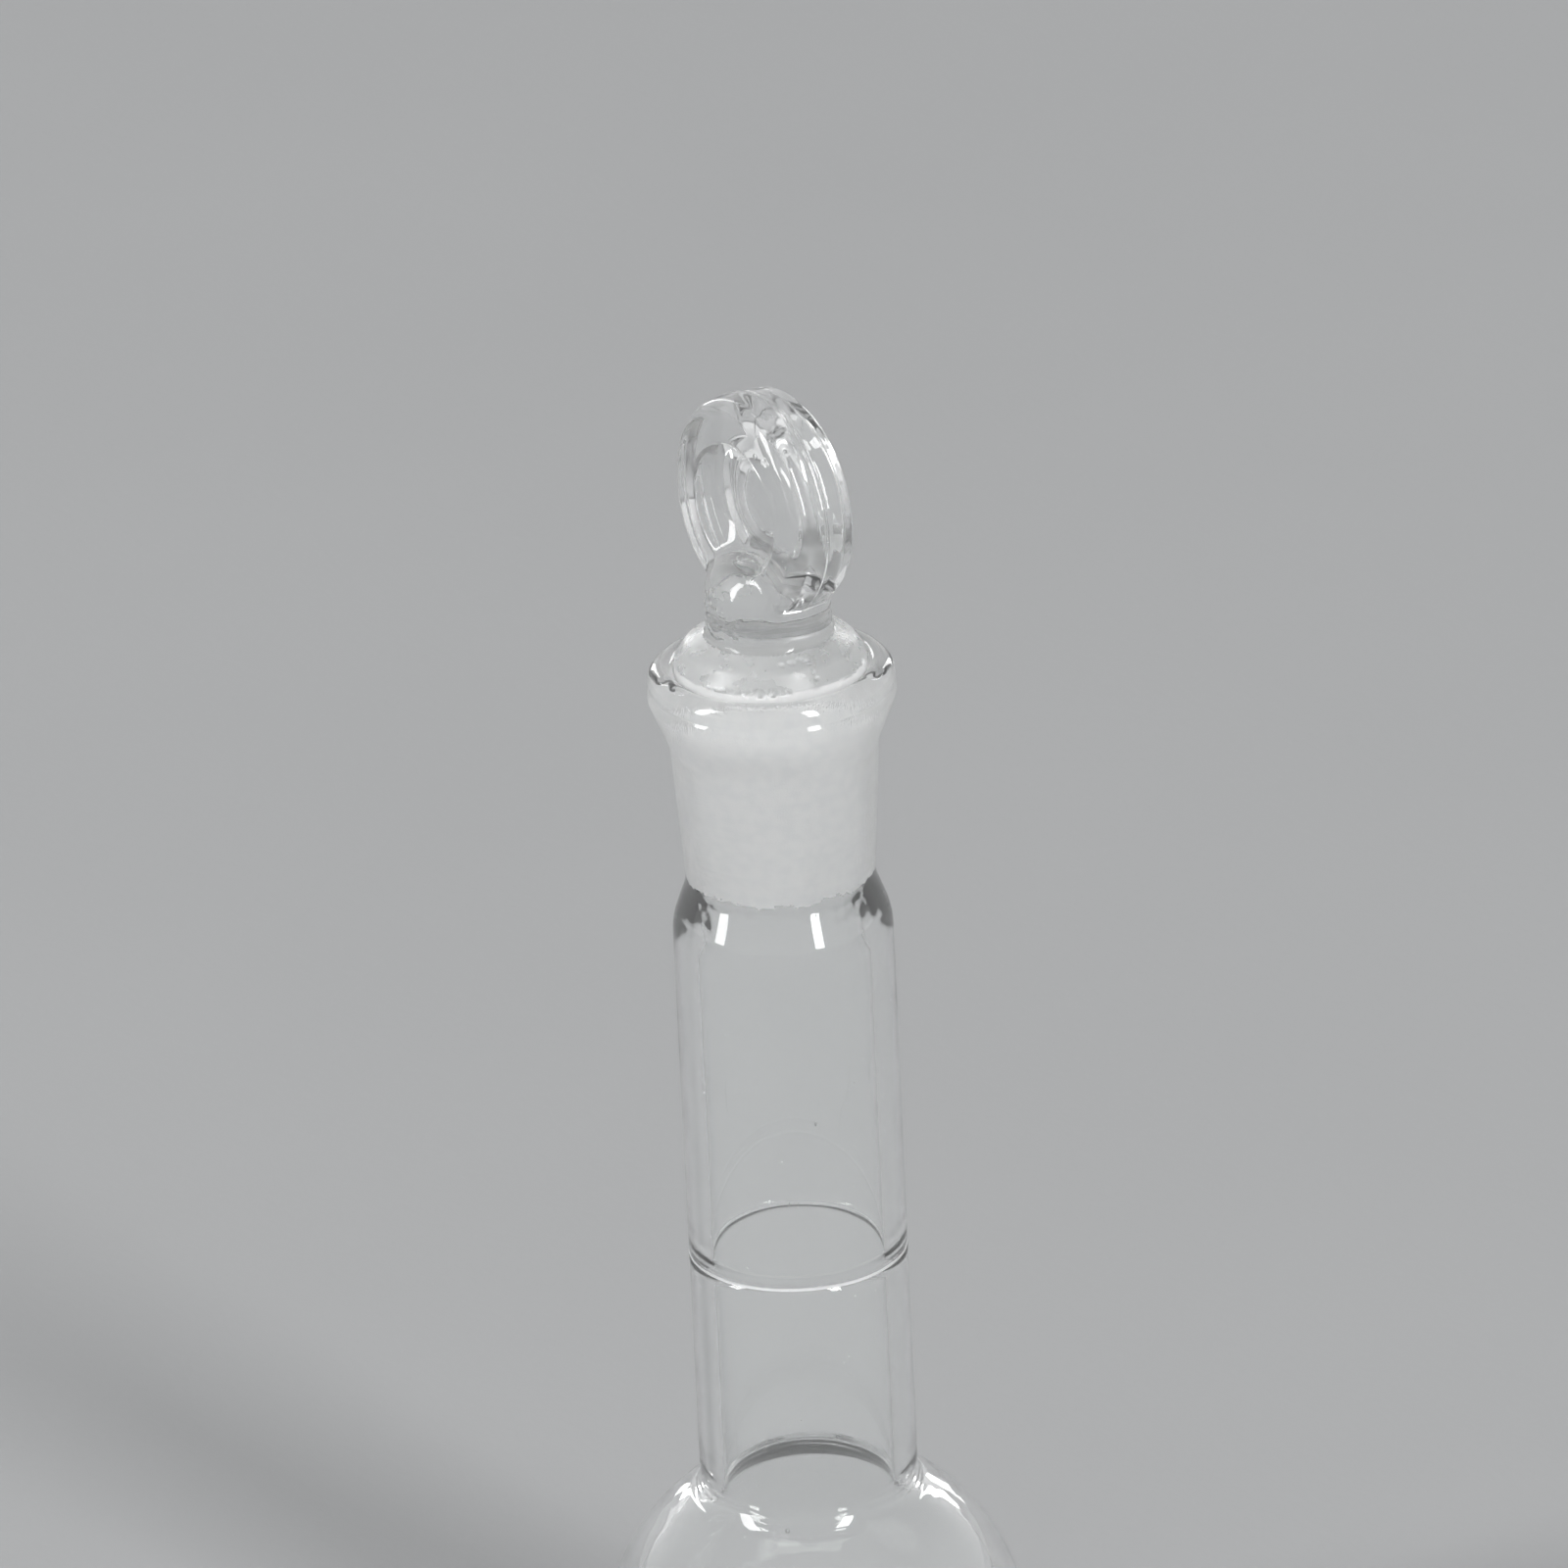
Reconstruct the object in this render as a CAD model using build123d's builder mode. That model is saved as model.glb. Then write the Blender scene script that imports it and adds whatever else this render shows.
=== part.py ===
from build123d import *
from math import cos, radians, sin, tan
import os

# A 5 ml one-mark volumetric flask with a solid ground-in glass stopper.
# Millimetres. The origin is the centre of the base, +Z runs up the neck,
# and the two dished faces of the stopper's round head look along -Y (front) and +Y (back).

# Bulb
BULB_DIAMETER = 22.6
BULB_CENTRE_HEIGHT = 8.3
BULB_WALL = 1.1
BASE_WALL = 1.3
HEEL_ROUND = 3.0
THROAT_ROUND = 1.5
PUSH_UP_DIAMETER = 10.4
PUSH_UP_HEIGHT = 0.7

# Neck, and the graduation line cut round it
NECK_DIAMETER = 11.5
NECK_BORE = 9.0
LINE_HEIGHT = 31.75
LINE_WIDTH = 0.18
LINE_DEPTH = 0.04
LOWER_SEAL_HEIGHT = 21.0
UPPER_SEAL_HEIGHT = 49.5

# Bore of the ground joint, size 10/13: 10 mm across its wide end, narrowing 1 in 10
RIM_HEIGHT = 65.0
JOINT_DIAMETER = 10.0
JOINT_TAPER = 1 / 10
JOINT_TOP_DEPTH = 0.35
GROUND_LENGTH = 12.3
BORE_FLARE_LENGTH = 1.8
BORE_ROUND = 1.5

# Outside of the ground joint. Two lobes, each (diameter at its centre, depth, radius), roll into one bead
UPPER_LOBE = (11.24, 0.80, 0.80)
LOWER_LOBE = (11.10, 1.60, 0.92)
FLARE_ANGLE = 22
FLARE_ROUND = 1.2
BARREL_DIAMETER = 10.9
WAIST_DIAMETER = 9.84
WAIST_DEPTH = 12.05
WAIST_ROUND = 2.0
SHOULDER_DEPTH = 14.3
SHOULDER_ROUND = 4.0

# Stopper: ground plug, shank and round head. Rises are above the rim of the flask
PLUG_CLEARANCE = 0.03
PLUG_RISE = 0.35
PLUG_LENGTH = 11.8
PLUG_END_ROUND = 0.4
PLUG_TOP_ROUND = 0.25
PLUG_SHOULDER_DIAMETER = 8.9
PLUG_SHOULDER_RISE = 1.25
PLUG_SHOULDER_ROUND = 0.9
SHANK_DIAMETER = 6.64
SHANK_BASE_RISE = 1.85
SHANK_BASE_ROUND = 0.3
SHANK_TOP_DROP = 2.75
SHANK_TOP_ROUND = 2.2
HEAD_CENTRE_RISE = 8.93
HEAD_DIAMETER = 11.9
HEAD_FRONT = 1.85
HEAD_BACK = 1.95
HEAD_DRAFT = 0.18
FRONT_EDGE_ROUND = 0.9
BACK_EDGE_ROUND = 0.5
WEB_THICKNESS = 1.1
DISH_FLOOR_DIAMETER = 4.7
DISH_FLOOR_ROUND = 2.5
DISH_MOUTH_DIAMETER = 7.2
DISH_LIP_ROUND = 0.45


def joint_radius(height):
    """Radius of the socket's ground cone at a height above the base."""
    return (JOINT_DIAMETER - JOINT_TAPER * (RIM_HEIGHT - JOINT_TOP_DEPTH - height)) / 2


def half_section(plane, corners):
    """Closed face through (x, y, corner radius) corners on a plane."""
    with BuildSketch(plane) as section:
        with BuildLine():
            points = [(x, y) for x, y, _ in corners]
            FilletPolyline(*points, radius=[corner for _, _, corner in corners], close=True)
        make_face()
    return section.sketch


def bulb_outline(wall, neck_radius, base_height):
    """Half outline of a ball with a neck, standing on a domed base at a height."""
    with BuildSketch(Plane.XZ) as outline:
        with Locations((0, BULB_CENTRE_HEIGHT)):
            Circle(BULB_DIAMETER / 2 - wall)
            Rectangle(2 * neck_radius, LOWER_SEAL_HEIGHT - BULB_CENTRE_HEIGHT, align=(Align.CENTER, Align.MIN))
        with Locations((0, base_height)):
            Rectangle(BULB_DIAMETER, BULB_DIAMETER, align=(Align.CENTER, Align.MAX), mode=Mode.SUBTRACT)
        corners = outline.vertices().group_by(Axis.Y)
        fillet(corners[0], HEEL_ROUND - wall)
        fillet(corners[-2], THROAT_ROUND + wall)
        with Locations((0, base_height)):
            with BuildLine():
                half_width = PUSH_UP_DIAMETER / 2
                dome = ThreePointArc((-half_width, 0), (0, PUSH_UP_HEIGHT), (half_width, 0))
                Line(dome @ 1, dome @ 0)
            make_face(mode=Mode.SUBTRACT)
        split(bisect_by=Plane.YZ)
    return outline.sketch


def flare_corners():
    """The straight flare under the bead: its foot on the barrel, and its top on the lower lobe."""
    diameter, depth, radius = LOWER_LOBE
    lean = radians(FLARE_ANGLE)
    top_radius = diameter / 2 + radius * cos(lean)
    top_height = RIM_HEIGHT - depth - radius * sin(lean)
    foot_radius = BARREL_DIAMETER / 2
    foot_height = top_height - (top_radius - foot_radius) / tan(lean)
    return (foot_radius, foot_height, FLARE_ROUND), (top_radius, top_height, 0)


def lobe_section(diameter, depth, radius):
    """Section of one round lobe of the bead at the mouth."""
    with BuildSketch(Plane.XZ) as section:
        with Locations((diameter / 2, RIM_HEIGHT - depth)):
            Circle(radius)
    return section.sketch


# The blown body, with a flat foot ring round a slight push-up
with BuildPart() as bulb:
    revolve(bulb_outline(0, NECK_DIAMETER / 2, 0), axis=Axis.Z)
    revolve(bulb_outline(BULB_WALL, NECK_BORE / 2, BASE_WALL), axis=Axis.Z, mode=Mode.SUBTRACT)

# Plain drawn tube with the graduation line cut into it
with BuildPart() as neck_tube:
    with BuildSketch(Plane.XY.offset(LOWER_SEAL_HEIGHT)):
        Circle(NECK_DIAMETER / 2)
        Circle(NECK_BORE / 2, mode=Mode.SUBTRACT)
    extrude(amount=UPPER_SEAL_HEIGHT - LOWER_SEAL_HEIGHT)
    with BuildSketch(Plane.XZ):
        with Locations((NECK_DIAMETER / 2, LINE_HEIGHT)):
            Ellipse(LINE_DEPTH, LINE_WIDTH / 2)
    revolve(axis=Axis.Z, mode=Mode.SUBTRACT)

# Tapered joint with a rolled bead round its mouth
with BuildPart() as ground_socket:
    lobe_height = RIM_HEIGHT - LOWER_LOBE[1]
    outside = [
        (0, UPPER_SEAL_HEIGHT, 0),
        (NECK_DIAMETER / 2, UPPER_SEAL_HEIGHT, 0),
        (NECK_DIAMETER / 2, RIM_HEIGHT - SHOULDER_DEPTH, SHOULDER_ROUND),
        (WAIST_DIAMETER / 2, RIM_HEIGHT - WAIST_DEPTH, WAIST_ROUND),
        *flare_corners(),
        (LOWER_LOBE[0] / 2, lobe_height, 0),
        (0, lobe_height, 0),
    ]
    revolve(half_section(Plane.XZ, outside), axis=Axis.Z)
    revolve(lobe_section(*UPPER_LOBE), axis=Axis.Z)
    revolve(lobe_section(*LOWER_LOBE), axis=Axis.Z)
    ground_end = RIM_HEIGHT - JOINT_TOP_DEPTH - GROUND_LENGTH
    above_rim = RIM_HEIGHT + 1
    bore = [
        (0, UPPER_SEAL_HEIGHT, 0),
        (NECK_BORE / 2, UPPER_SEAL_HEIGHT, 0),
        (NECK_BORE / 2, ground_end - BORE_FLARE_LENGTH, BORE_ROUND),
        (joint_radius(ground_end), ground_end, BORE_ROUND),
        (joint_radius(above_rim), above_rim, 0),
        (0, above_rim, 0),
    ]
    revolve(half_section(Plane.XZ, bore), axis=Axis.Z, mode=Mode.SUBTRACT)

# Solid glass stopper, pressed in one piece: the plug and shank are round about the
# neck's axis, and the dished head is round about a level axis
with BuildPart() as stopper:
    plug_top = RIM_HEIGHT + PLUG_RISE
    plug_end = plug_top - PLUG_LENGTH
    head_centre = RIM_HEIGHT + HEAD_CENTRE_RISE
    shank_top = head_centre - SHANK_TOP_DROP
    plug_and_shank = [
        (0, plug_end, 0),
        (joint_radius(plug_end) - PLUG_CLEARANCE, plug_end, PLUG_END_ROUND),
        (joint_radius(plug_top) - PLUG_CLEARANCE, plug_top, PLUG_TOP_ROUND),
        (PLUG_SHOULDER_DIAMETER / 2, RIM_HEIGHT + PLUG_SHOULDER_RISE, PLUG_SHOULDER_ROUND),
        (SHANK_DIAMETER / 2, RIM_HEIGHT + SHANK_BASE_RISE, SHANK_BASE_ROUND),
        (SHANK_DIAMETER / 2, shank_top, SHANK_TOP_ROUND),
        (0, shank_top, 0),
    ]
    revolve(half_section(Plane.XZ, plug_and_shank), axis=Axis.Z)
    web = WEB_THICKNESS / 2
    floor_radius = DISH_FLOOR_DIAMETER / 2
    mouth_radius = DISH_MOUTH_DIAMETER / 2
    seam_radius = HEAD_DIAMETER / 2
    half_head = [
        (-web, 0, 0),
        (web, 0, 0),
        (web, floor_radius, DISH_FLOOR_ROUND),
        (HEAD_BACK, mouth_radius, DISH_LIP_ROUND),
        (HEAD_BACK, seam_radius - HEAD_DRAFT, BACK_EDGE_ROUND),
        (0, seam_radius, 0),
        (-HEAD_FRONT, seam_radius - HEAD_DRAFT, FRONT_EDGE_ROUND),
        (-HEAD_FRONT, mouth_radius, DISH_LIP_ROUND),
        (-web, floor_radius, DISH_FLOOR_ROUND),
    ]
    head_plane = Plane(origin=(0, 0, head_centre), x_dir=(0, 1, 0), z_dir=(1, 0, 0))
    revolve(half_section(head_plane, half_head), axis=Axis((0, 0, head_centre), (0, 1, 0)))

os.makedirs("parts", exist_ok=True)
for name, piece in [
    ("bulb", bulb), ("neck_tube", neck_tube), ("ground_socket", ground_socket), ("stopper", stopper)
]:
    piece.part.label = name
    export_step(piece.part, f"parts/{name}.step")
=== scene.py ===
import math

import bmesh
import bpy
import numpy as np
from mathutils import Matrix, Vector, noise


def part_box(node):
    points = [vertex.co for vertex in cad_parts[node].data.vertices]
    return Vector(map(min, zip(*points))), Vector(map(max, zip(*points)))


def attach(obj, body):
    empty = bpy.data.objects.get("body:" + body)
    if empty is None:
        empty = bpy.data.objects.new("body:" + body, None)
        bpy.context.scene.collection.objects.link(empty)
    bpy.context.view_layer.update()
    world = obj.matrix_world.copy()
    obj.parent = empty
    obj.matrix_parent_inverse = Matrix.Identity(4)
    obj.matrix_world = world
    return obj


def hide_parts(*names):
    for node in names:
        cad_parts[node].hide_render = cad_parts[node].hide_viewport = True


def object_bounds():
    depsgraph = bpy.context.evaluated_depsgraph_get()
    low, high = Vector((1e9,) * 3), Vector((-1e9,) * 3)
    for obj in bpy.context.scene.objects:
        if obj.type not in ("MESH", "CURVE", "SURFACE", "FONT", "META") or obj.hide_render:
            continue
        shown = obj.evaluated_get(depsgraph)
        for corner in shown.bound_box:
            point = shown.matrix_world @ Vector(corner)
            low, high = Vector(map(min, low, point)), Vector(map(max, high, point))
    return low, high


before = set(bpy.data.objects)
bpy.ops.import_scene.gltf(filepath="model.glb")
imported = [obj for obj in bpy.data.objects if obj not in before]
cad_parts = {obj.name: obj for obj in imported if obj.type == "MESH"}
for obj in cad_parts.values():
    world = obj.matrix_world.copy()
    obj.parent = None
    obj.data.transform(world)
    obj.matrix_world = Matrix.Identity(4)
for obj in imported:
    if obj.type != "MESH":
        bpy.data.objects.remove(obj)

# A 5 ml volumetric flask with a ground-in glass stopper, in metres, in the CAD frame.
# Shapes are worked out in millimetres and scaled by MM when a mesh is made.
MM = 0.001

cad_low, cad_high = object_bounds()
bulb_low, bulb_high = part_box("bulb")
neck_low, neck_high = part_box("neck_tube")
socket_low, socket_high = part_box("ground_socket")
stopper_low, stopper_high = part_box("stopper")

# Bulb
BULB_RADIUS = bulb_high.x / MM
BULB_CENTRE = 8.3
BULB_WALL = 1.1
BASE_WALL = 1.3
HEEL_ROUND = 3.0
THROAT_ROUND = 1.5
PUSH_UP_RADIUS = 5.2
PUSH_UP_HEIGHT = 0.7

# Neck
NECK_RADIUS = neck_high.x / MM
BORE_RADIUS = 4.5
LOWER_SEAL = neck_low.z / MM
UPPER_SEAL = neck_high.z / MM
LINE_HEIGHT = 31.75
LINE_WIDTH = 0.18
LINE_DEPTH = 0.04

# Ground joint; lobes are (radius of the centre, depth below the rim, radius)
RIM = socket_high.z / MM
JOINT_RADIUS = 5.0
JOINT_SLOPE = 1 / 20
MOUTH = RIM - 0.35
GROUND_END = MOUTH - 12.3
UPPER_LOBE = (5.62, 0.80, 0.80)
LOWER_LOBE = (5.55, 1.60, 0.92)
FLARE_LEAN = math.radians(22)
FLARE_ROUND = 1.2
BARREL_RADIUS = 5.45
WAIST_RADIUS = 4.92
WAIST_DEPTH = 12.05
WAIST_ROUND = 2.0
SHOULDER_DEPTH = 14.3
SHOULDER_ROUND = 4.0
BORE_TAPER = 1.8
BORE_ROUND = 1.5

# Stopper
PLUG_END = stopper_low.z / MM
PLUG_END_ROUND = 0.4
PLUG_TOP = RIM + 0.35
PLUG_EDGE_ROUND = 0.25
PLUG_CLEARANCE = 0.03
PLUG_SHOULDER_RADIUS = 4.45
PLUG_SHOULDER = RIM + 1.25
PLUG_SHOULDER_ROUND = 0.9
WORN_TOP = RIM + 1.75
SHANK_RADIUS = 3.32
SHANK_FOOT = RIM + 1.85
SHANK_FOOT_ROUND = 0.3
SHANK_TOP_DROP = 2.75
SHANK_TOP_ROUND = 2.2
HEAD_RADIUS = stopper_high.x / MM
HEAD_CENTRE = stopper_high.z / MM - HEAD_RADIUS
SHANK_TOP = HEAD_CENTRE - SHANK_TOP_DROP
HEAD_FRONT = 1.85
HEAD_BACK = 1.95
HEAD_WEB = 0.55
HEAD_EDGE_RADIUS = HEAD_RADIUS - 0.18
FRONT_EDGE_ROUND = 0.9
BACK_EDGE_ROUND = 0.5
DISH_FLOOR_RADIUS = 2.35
DISH_FLOOR_ROUND = 2.5
DISH_MOUTH_RADIUS = 3.6
DISH_LIP_ROUND = 0.45
FILLET = 0.5

# Material slots of the pieces. SPECIAL is the ground glass of a joint, or the etched glass of the line.
CLEAR = 0
SEAL = 1
SPECIAL = 2
WORN = 3
GLASS_IOR = 1.474

# Meshes: points round each swept ring, and the longest steps along the outlines, in mm
SEGMENTS = 256
ARC_STEP = 0.12
DOME_STEP = 0.25
BALL_STEP = 0.2
BULB_STEP = 0.3
NECK_STEP = 0.4
LOBE_STEP = 0.08
SOCKET_STEP = 0.25
BORE_STEP = 0.2
FINE_STEP = 0.06
LINE_POINTS = 9
MOUTH_ROUNDS = 5
WELD = 1e-4

# The stopper's mesh: its grid and the margin round it, and the reach of its two tables of distances, in mm
STOPPER_STEP = 0.107
GRID_MARGIN = 0.3
TABLE_REACH = 20
TABLE_COUNT = 1001
NET_INSET = 0.02
NET_ROUNDS = 3
ON_SURFACE = 0.02

# Top of the ball, where the throat begins, and a radius inside the neck's wall
THROAT_HEIGHT = BULB_CENTRE + math.sqrt(BULB_RADIUS**2 - NECK_RADIUS**2)
MID_WALL = BORE_RADIUS + 0.6

# Camera: degrees, metres, and mm for the point it looks at
CAMERA_AZIMUTH = 57.0
CAMERA_ELEVATION = 23.7
CAMERA_LEAN = 2.72
CAMERA_DISTANCE = 0.8
CAMERA_LENS = 354.6
AIM_HEIGHT = 58.05
AIM_RIGHT = 0.395

# Lamps as (name, degrees from the camera, elevation, distance, width, height, watts)
LAMPS = [
    ("left_window", -70, 27, 1.3, 0.28, 1.10, 13),
    ("right_window", 37, 27, 1.3, 0.24, 1.10, 15),
    ("left_rim", -160, 14, 1.4, 0.14, 1.0, 2),
    ("right_rim", 155, 14, 1.4, 0.14, 1.0, 2),
    ("overhead", 180, 80, 1.6, 0.9, 0.9, 4),
]
FLOOR_RADIUS = 6.0


# ---------------------------------------------------------------- outlines, in mm
def arc(centre, radius, start, end, step=ARC_STEP):
    """Points on an arc from angle start to angle end, in radians, ends included."""
    count = max(2, math.ceil(abs(end - start) * radius / step))
    angles = [start + (end - start) * k / count for k in range(count + 1)]
    return [(centre[0] + radius * math.cos(a), centre[1] + radius * math.sin(a)) for a in angles]


def rounded(corners, step=ARC_STEP):
    """Points along a line through (x, y, corner radius) corners, with the corners rounded."""
    line = [corners[0][:2]]
    for before, here, after in zip(corners, corners[1:], corners[2:]):
        corner = Vector(here[:2])
        if here[2] == 0:
            line.append(here[:2])
            continue
        back = (Vector(before[:2]) - corner).normalized()
        ahead = (Vector(after[:2]) - corner).normalized()
        half = back.angle(ahead) / 2
        centre = corner + (back + ahead).normalized() * here[2] / math.sin(half)
        reach = here[2] / math.tan(half)
        first, last = corner + back * reach - centre, corner + ahead * reach - centre
        start = math.atan2(first.y, first.x)
        turn = math.remainder(math.atan2(last.y, last.x) - start, math.tau)
        line += arc(centre, here[2], start, start + turn, step)
    return line + [corners[-1][:2]]


def evenly(line, step):
    """The same line with its long stretches divided, and without doubled points."""
    points = [line[0]]
    for here in line[1:]:
        last = points[-1]
        gap = math.dist(last, here)
        if gap > 1e-6:
            count = math.ceil(gap / step)
            parts = [k / count for k in range(1, count + 1)]
            points += [(last[0] + (here[0] - last[0]) * t, last[1] + (here[1] - last[1]) * t) for t in parts]
    return points


def bulb_line(wall, neck_radius, base):
    """One face of the bulb, from the axis of its base up to the lower seal."""
    ball, heel, throat = BULB_RADIUS - wall, HEEL_ROUND - wall, THROAT_ROUND + wall
    dome = (PUSH_UP_RADIUS**2 + PUSH_UP_HEIGHT**2) / (2 * PUSH_UP_HEIGHT)
    dome_edge = math.asin(PUSH_UP_RADIUS / dome)
    top = math.pi / 2
    heel_height = base + heel - BULB_CENTRE
    heel_at = (math.sqrt((ball - heel)**2 - heel_height**2), base + heel)
    low = math.atan2(heel_height, heel_at[0])
    throat_height = math.sqrt((ball + throat)**2 - (neck_radius + throat)**2)
    throat_at = (neck_radius + throat, BULB_CENTRE + throat_height)
    high = math.atan2(throat_height, throat_at[0])
    line = arc((0, base + PUSH_UP_HEIGHT - dome), dome, top, top - dome_edge, DOME_STEP)
    line += arc(heel_at, heel, -top, low, BALL_STEP)
    line += arc((0, BULB_CENTRE), ball, low, high, BALL_STEP)
    line += arc(throat_at, throat, high + math.pi, math.pi)
    return evenly(line + [(neck_radius, LOWER_SEAL)], BULB_STEP)


def neck_line():
    """The outside of the neck from the lower seal to the upper one, with the cut line."""
    groove = [(NECK_RADIUS - LINE_DEPTH * math.cos(a), LINE_HEIGHT + LINE_WIDTH / 2 * math.sin(a))
              for a in np.linspace(-math.pi / 2, math.pi / 2, LINE_POINTS)]
    return evenly([(NECK_RADIUS, LOWER_SEAL), *groove, (NECK_RADIUS, UPPER_SEAL)], NECK_STEP)


def cone_radius(height):
    """Radius of the socket's ground cone at a height."""
    return JOINT_RADIUS - (MOUTH - height) * JOINT_SLOPE


def lobe_centre(lobe):
    """Centre of one lobe of the bead, as (radius, height)."""
    return Vector((lobe[0], RIM - lobe[1]))


def mouth_edge():
    """Where the ground cone comes out through the bead, as (radius, height)."""
    centre = lobe_centre(UPPER_LOBE)
    radius = JOINT_RADIUS
    for _ in range(MOUTH_ROUNDS):
        height = centre.y + math.sqrt(UPPER_LOBE[2]**2 - (centre.x - radius)**2)
        radius = cone_radius(height)
    return radius, height


def socket_outside():
    """The outside of the ground joint, from the upper seal over the bead to its mouth."""
    low, high = lobe_centre(LOWER_LOBE), lobe_centre(UPPER_LOBE)
    flare_top = low + Vector((math.cos(FLARE_LEAN), -math.sin(FLARE_LEAN))) * LOWER_LOBE[2]
    flare_foot = flare_top.y - (flare_top.x - BARREL_RADIUS) / math.tan(FLARE_LEAN)
    line = rounded([
        (NECK_RADIUS, UPPER_SEAL, 0),
        (NECK_RADIUS, RIM - SHOULDER_DEPTH, SHOULDER_ROUND),
        (WAIST_RADIUS, RIM - WAIST_DEPTH, WAIST_ROUND),
        (BARREL_RADIUS, flare_foot, FLARE_ROUND),
        (*flare_top, 0),
    ])
    apart = (high - low).length
    up = (high - low) / apart
    along = (apart**2 + LOWER_LOBE[2]**2 - UPPER_LOBE[2]**2) / (2 * apart)
    crease = low + up * along + Vector((up.y, -up.x)) * math.sqrt(LOWER_LOBE[2]**2 - along**2)
    below, above = crease - low, crease - high
    last = Vector(mouth_edge()) - high
    line += arc(low, LOWER_LOBE[2], -FLARE_LEAN, math.atan2(below.y, below.x), LOBE_STEP)
    line += arc(high, UPPER_LOBE[2], math.atan2(above.y, above.x), math.atan2(last.y, last.x), LOBE_STEP)
    return evenly(line, SOCKET_STEP)


def socket_bore():
    """The inside of the ground joint, from its mouth down to the upper seal.

    Points stand close together where the ragged edge of the ground glass runs.
    """
    line = rounded([
        (*mouth_edge(), 0),
        (cone_radius(GROUND_END), GROUND_END, BORE_ROUND),
        (BORE_RADIUS, GROUND_END - BORE_TAPER, BORE_ROUND),
        (BORE_RADIUS, UPPER_SEAL, 0),
    ], FINE_STEP)
    cone = [(cone_radius(z), z) for z in np.arange(GROUND_END + 1, GROUND_END + 0.1, -FINE_STEP)]
    return evenly([line[0], *cone, *line[1:]], BORE_STEP)


# ---------------------------------------------------------------- swept glass
def hills(points, size, seed):
    """Smooth noise from -1 to 1 at points in mm, with hills about size mm wide."""
    shift = Vector((seed * 17.3, seed * 5.1, seed * 9.7))
    flat = (points.reshape(-1, 3) / size).tolist()
    return np.array([noise.noise(Vector(p) + shift) for p in flat]).reshape(points.shape[:-1])


def waves(points, *terms):
    """Hills added up: each term is (height, size, seed), in mm."""
    return sum(height * hills(points, size, seed) for height, size, seed in terms)


def step_up(values, low, high):
    """0 below low and 1 above high, smooth between them."""
    t = np.clip((values - low) / (high - low), 0, 1)
    return t * t * (3 - 2 * t)


def near(values, middle, width):
    """1 at the middle, fading to 0 about a width away."""
    return np.exp(-(((values - middle) / width) ** 2))


def swept(line, depth_of):
    """Rings of points that a line in mm sweeps round the axis, moved out of the glass by depth_of(points)."""
    angles = np.arange(SEGMENTS) * math.tau / SEGMENTS
    line = np.array(line)
    out = np.stack([np.cos(angles), np.sin(angles), 0 * angles], -1)[None]
    up = np.array([0, 0, 1.0])
    grid = line[:, :1, None] * out + line[:, 1:, None] * up
    along = np.gradient(line, axis=0)
    along /= np.linalg.norm(along, axis=1)[:, None]
    off = along[:, 1:, None] * out - along[:, :1, None] * up
    return grid + off * depth_of(grid)[..., None]


def flow_rings(points, pitch, bend, drop, width):
    """Rings left in the hot glass round the throat: pitch in radians per mm, bend as a term of waves."""
    height = points[..., 2]
    return np.sin(height * pitch + waves(points, bend)) * near(height, THROAT_HEIGHT - drop, width)


def outside_depth(points):
    """How far the flask's outer skin stands off its true line. The bulb's is never outwards."""
    height = points[..., 2]
    drawn = waves(points, (0.010, 9, 1), (0.004, 2.5, 2))
    bead = waves(points, (0.025, 3.2, 3), (0.006, 1.1, 4))
    on_bead = step_up(height, RIM - 3.2, RIM - 1.8)
    depth = drawn + bead * on_bead + OUTER_RINGS * flow_rings(points, 7.5, (2.2, 5, 5), 0.6, 1.6)
    for degrees, size, deep in DENTS:
        middle = np.array(around(DENT_RADIUS, degrees, DENT_HEIGHT))
        apart = np.linalg.norm(points - middle, axis=-1)
        depth = depth - deep * near(apart, 0, size)
    blown = 0.018 * (hills(points, 8, 6) - 1)
    share = step_up(height, THROAT_HEIGHT - 4, THROAT_HEIGHT)
    off_foot = step_up(height, 1.5, 4)
    return (depth * share + blown * (1 - share)) * off_foot


def inside_depth(points):
    """How far the flask's inner skin stands off its true line. The ground cone's stays true."""
    height = points[..., 2]
    drawn = waves(points, (0.014, 7, 7), (0.004, 2, 8))
    blown = waves(points, (0.05, 6, 10), (0.012, 2, 11))
    share = step_up(height, THROAT_HEIGHT - 2, THROAT_HEIGHT + 2)
    below_cone = step_up(-height, -GROUND_END + 1.0, -GROUND_END + 2.6)
    crinkle = 0.06 * hills(points, 0.6, 12) * near(height, GROUND_END - 0.3, 0.9)
    rings = INNER_RINGS * flow_rings(points, 13, (3, 4, 9), 0.2, 1.3)
    return (drawn * share + blown * (1 - share)) * below_cone + crinkle + rings


def bubble(centre, radius, stretch=1.0):
    """A seed of air in the glass, as rings whose faces look into it."""
    angles = np.arange(20) * math.tau / 20
    tilt = np.linspace(0, math.pi, 11)
    ring = np.stack([np.cos(angles), np.sin(angles), 0 * angles], -1)[None]
    up = np.array([0, 0, stretch])
    rings = np.sin(tilt)[:, None, None] * ring + np.cos(tilt)[:, None, None] * up
    return np.array(centre) + radius * rings


def around(radius, degrees, height):
    """A point at a radius and an angle round the axis."""
    return (radius * math.cos(math.radians(degrees)), radius * math.sin(math.radians(degrees)), height)


# Heights of the rings of flow in the outer and the inner skin of the throat, in mm
OUTER_RINGS = 0.010
INNER_RINGS = 0.011

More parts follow.
